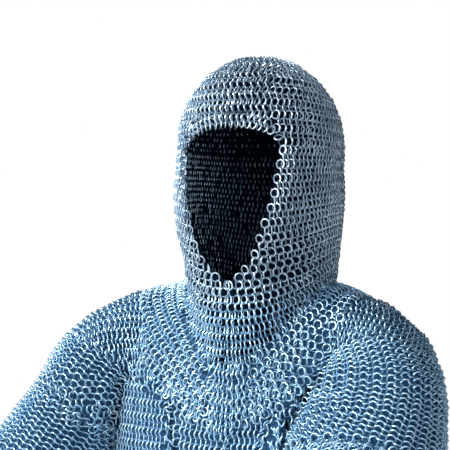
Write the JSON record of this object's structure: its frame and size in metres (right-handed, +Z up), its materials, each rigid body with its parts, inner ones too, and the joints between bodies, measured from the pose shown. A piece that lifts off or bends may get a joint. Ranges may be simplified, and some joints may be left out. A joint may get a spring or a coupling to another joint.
{
  "type": "chainmail hauberk with hood",
  "caption": "Worn, hollow mail hauberk of linked steel rings: thigh-length shirt with elbow sleeves, and a hood with a face opening and a deep pointed mantle.",
  "frame": {"origin": "base of the neck, on the wearer's centre line, where the shirt hangs from the shoulders", "axes": "+Z up the wearer, -Y out of the chest to the front, +X to the wearer's left"},
  "size_m": [0.5999, 0.3926, 1.0025],
  "materials": {
    "hood_mail": "bright, slightly greyed butted steel rings",
    "shirt_mail": "bright zinc-blue steel rings"
  },
  "bodies": {
    "root": {"hood_crown": "hood_mail", "hood_sides": "hood_mail", "mantle_right": "shirt_mail", "mantle_left": "shirt_mail", "body_front": "shirt_mail", "body_back": "shirt_mail", "sleeve_right": "shirt_mail", "sleeve_left": "shirt_mail", "skirt_front": "shirt_mail", "skirt_back": "shirt_mail"}
  },
  "joints": []
}
